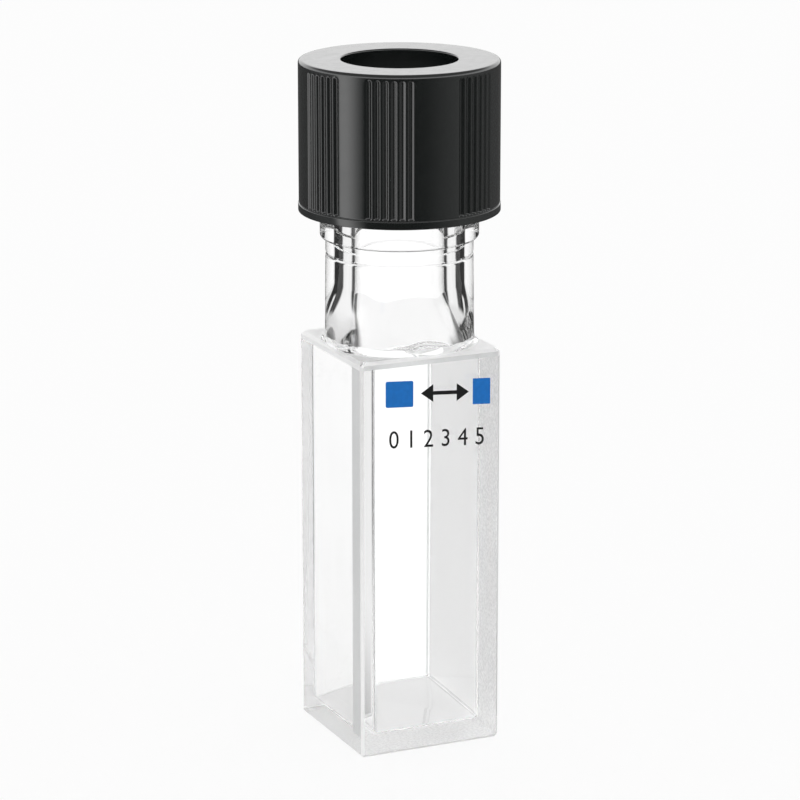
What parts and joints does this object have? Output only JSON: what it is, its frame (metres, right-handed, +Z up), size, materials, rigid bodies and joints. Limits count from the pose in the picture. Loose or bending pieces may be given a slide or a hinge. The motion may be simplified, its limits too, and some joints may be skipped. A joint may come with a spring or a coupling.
{
  "type": "cuvette",
  "caption": "Square glass cell with clear front and back windows, a round neck and an open-top screw cap over a sealing disc.",
  "frame": {"origin": "centre of the base", "axes": "+Z up along the neck, -Y out of the printed front window, and light crosses along Y"},
  "size_m": [0.0164, 0.0164, 0.0569],
  "materials": {
    "clear_glass": "polished clear",
    "ground_glass": "finely ground, satin",
    "soft_disc": "matt",
    "cap_plastic": "satin black"
  },
  "bodies": {
    "cell": {"base_plate": "ground_glass", "left_wall": "ground_glass", "right_wall": "ground_glass", "front_window": "clear_glass", "back_window": "clear_glass", "neck": "clear_glass", "threaded_finish": "clear_glass"},
    "disc": {"sealing_disc": "soft_disc"},
    "cap": {"screw_cap": "cap_plastic"}
  },
  "joints": [
    {"name": "cap_lift", "type": "slide", "parent": "cell", "child": "disc", "axis": [0, 0, 1], "range_m": [0, 0.005]},
    {"name": "cap_turn", "type": "hinge", "parent": "disc", "child": "cap", "pos_m": [0, 0, 0.055], "axis": [0, 0, 1], "range_deg": [0, 721]}
  ],
  "couplings": [
    {"joint": "cap_turn", "follows": "cap_lift", "rad_per_m": 2513.3}
  ]
}
